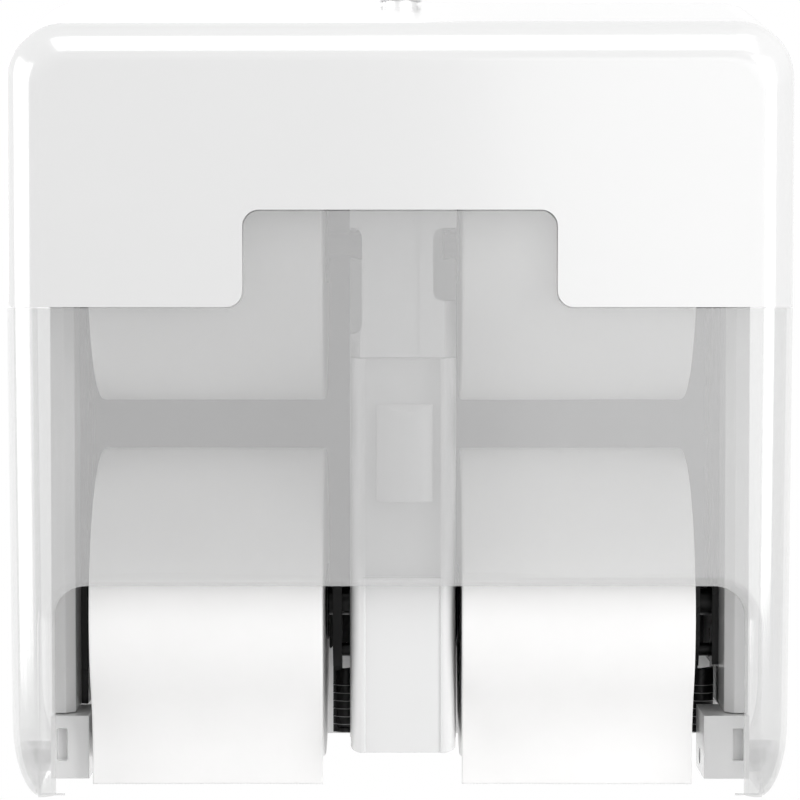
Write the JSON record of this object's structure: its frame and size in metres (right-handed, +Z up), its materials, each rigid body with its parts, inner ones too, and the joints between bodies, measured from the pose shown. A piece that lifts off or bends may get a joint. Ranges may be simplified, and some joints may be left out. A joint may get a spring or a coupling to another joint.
{
  "type": "four roll toilet paper dispenser",
  "caption": "Wall dispenser for coreless toilet rolls with a two-tone hinged cover, top key lock, spindle tracks, sprung change slide and ribbed release levers",
  "frame": {"origin": "centre of the flat wall face of the back plate", "axes": "+Z up, +Y into the wall, +X to the right of someone facing the dispenser"},
  "size_m": [0.345, 0.154, 0.3496],
  "materials": {
    "white_gloss": "glossy moulded",
    "smoky_gloss": "glossy translucent moulded",
    "white_frame": "satin moulded",
    "black_frame": "satin moulded",
    "tissue": "soft embossed tissue",
    "steel": "plated"
  },
  "bodies": {
    "housing": {"back_plate": "white_frame", "back_liner": "black_frame", "lock_catch": "white_frame", "left_side_frame": "white_frame", "right_side_frame": "white_frame", "left_lower_bracket": "white_frame", "right_lower_bracket": "white_frame", "left_hinge_pin": "steel", "right_hinge_pin": "steel", "column_base": "white_frame", "column_plate": "white_frame", "column_front": "white_frame", "column_head": "white_frame", "wall_screw_upper_left": "steel", "wall_screw_upper_right": "steel", "wall_screw_lower_left": "steel", "wall_screw_lower_right": "steel", "column_screw_upper": "steel", "column_screw_lower": "steel", "left_outer_track": "black_frame", "left_inner_track": "black_frame", "right_inner_track": "black_frame", "right_outer_track": "black_frame", "left_sheet": "tissue", "right_sheet": "tissue", "change_spring": "steel"},
    "cover": {"cover_upper": "white_gloss", "cover_lower": "smoky_gloss", "lock_nut": "steel"},
    "lock": {"lock_barrel": "steel", "lock_cam": "steel"},
    "left_reserve": {"left_reserve_roll": "tissue", "left_reserve_plug_left": "black_frame", "left_reserve_plug_right": "black_frame"},
    "right_reserve": {"right_reserve_roll": "tissue", "right_reserve_plug_left": "black_frame", "right_reserve_plug_right": "black_frame"},
    "left_working": {"left_working_roll": "tissue", "left_working_plug_left": "black_frame", "left_working_plug_right": "black_frame"},
    "right_working": {"right_working_roll": "tissue", "right_working_plug_left": "black_frame", "right_working_plug_right": "black_frame"},
    "slide": {"change_slide": "white_frame"},
    "left_outer_gate": {"left_outer_gate": "black_frame"},
    "left_inner_gate": {"left_inner_gate": "black_frame"},
    "right_inner_gate": {"right_inner_gate": "black_frame"},
    "right_outer_gate": {"right_outer_gate": "black_frame"},
    "left_lever": {"left_release_lever": "black_frame"},
    "right_lever": {"right_release_lever": "black_frame"}
  },
  "joints": [
    {"name": "cover_hinge", "type": "hinge", "parent": "housing", "child": "cover", "pos_m": [0, -0.104, -0.162], "axis": [1, 0, 0], "range_deg": [0, 95]},
    {"name": "lock_turn", "type": "hinge", "parent": "cover", "child": "lock", "pos_m": [0, -0.025, 0.17], "axis": [0, 0, 1], "range_deg": [0, 90]},
    {"name": "left_reserve_spin", "type": "hinge", "parent": "housing", "child": "left_reserve", "pos_m": [0, -0.0755, 0.0612], "axis": [1, 0, 0], "continuous": true},
    {"name": "right_reserve_spin", "type": "hinge", "parent": "housing", "child": "right_reserve", "pos_m": [0, -0.0755, 0.0612], "axis": [1, 0, 0], "continuous": true},
    {"name": "left_working_spin", "type": "hinge", "parent": "housing", "child": "left_working", "pos_m": [0, -0.0755, -0.0975], "axis": [1, 0, 0], "continuous": true},
    {"name": "right_working_spin", "type": "hinge", "parent": "housing", "child": "right_working", "pos_m": [0, -0.0755, -0.0975], "axis": [1, 0, 0], "continuous": true},
    {"name": "change_slide_travel", "type": "slide", "parent": "housing", "child": "slide", "axis": [0, 0, -1], "range_m": [0, 0.018], "stiffness_N_per_m": 150, "springref_m": -0.01, "deforming": ["change_spring"]},
    {"name": "left_outer_gate_drop", "type": "hinge", "parent": "housing", "child": "left_outer_gate", "pos_m": [0, -0.062, 0.0504], "axis": [1, 0, 0], "range_deg": [0, 85]},
    {"name": "left_inner_gate_drop", "type": "hinge", "parent": "housing", "child": "left_inner_gate", "pos_m": [0, -0.062, 0.0504], "axis": [1, 0, 0], "range_deg": [0, 85]},
    {"name": "right_inner_gate_drop", "type": "hinge", "parent": "housing", "child": "right_inner_gate", "pos_m": [0, -0.062, 0.0504], "axis": [1, 0, 0], "range_deg": [0, 85]},
    {"name": "right_outer_gate_drop", "type": "hinge", "parent": "housing", "child": "right_outer_gate", "pos_m": [0, -0.062, 0.0504], "axis": [1, 0, 0], "range_deg": [0, 85]},
    {"name": "left_lever_press", "type": "hinge", "parent": "housing", "child": "left_lever", "pos_m": [0, -0.0755, -0.119], "axis": [1, 0, 0], "range_deg": [0, 25], "stiffness_Nm_per_rad": 0.3, "springref_deg": -11.46},
    {"name": "right_lever_press", "type": "hinge", "parent": "housing", "child": "right_lever", "pos_m": [0, -0.0755, -0.119], "axis": [1, 0, 0], "range_deg": [0, 25], "stiffness_Nm_per_rad": 0.3, "springref_deg": -11.46}
  ],
  "couplings": [
    {"joint": "left_outer_gate_drop", "follows": "change_slide_travel", "rad_per_m": 82.4},
    {"joint": "left_inner_gate_drop", "follows": "change_slide_travel", "rad_per_m": 82.4},
    {"joint": "right_inner_gate_drop", "follows": "change_slide_travel", "rad_per_m": 82.4},
    {"joint": "right_outer_gate_drop", "follows": "change_slide_travel", "rad_per_m": 82.4}
  ]
}
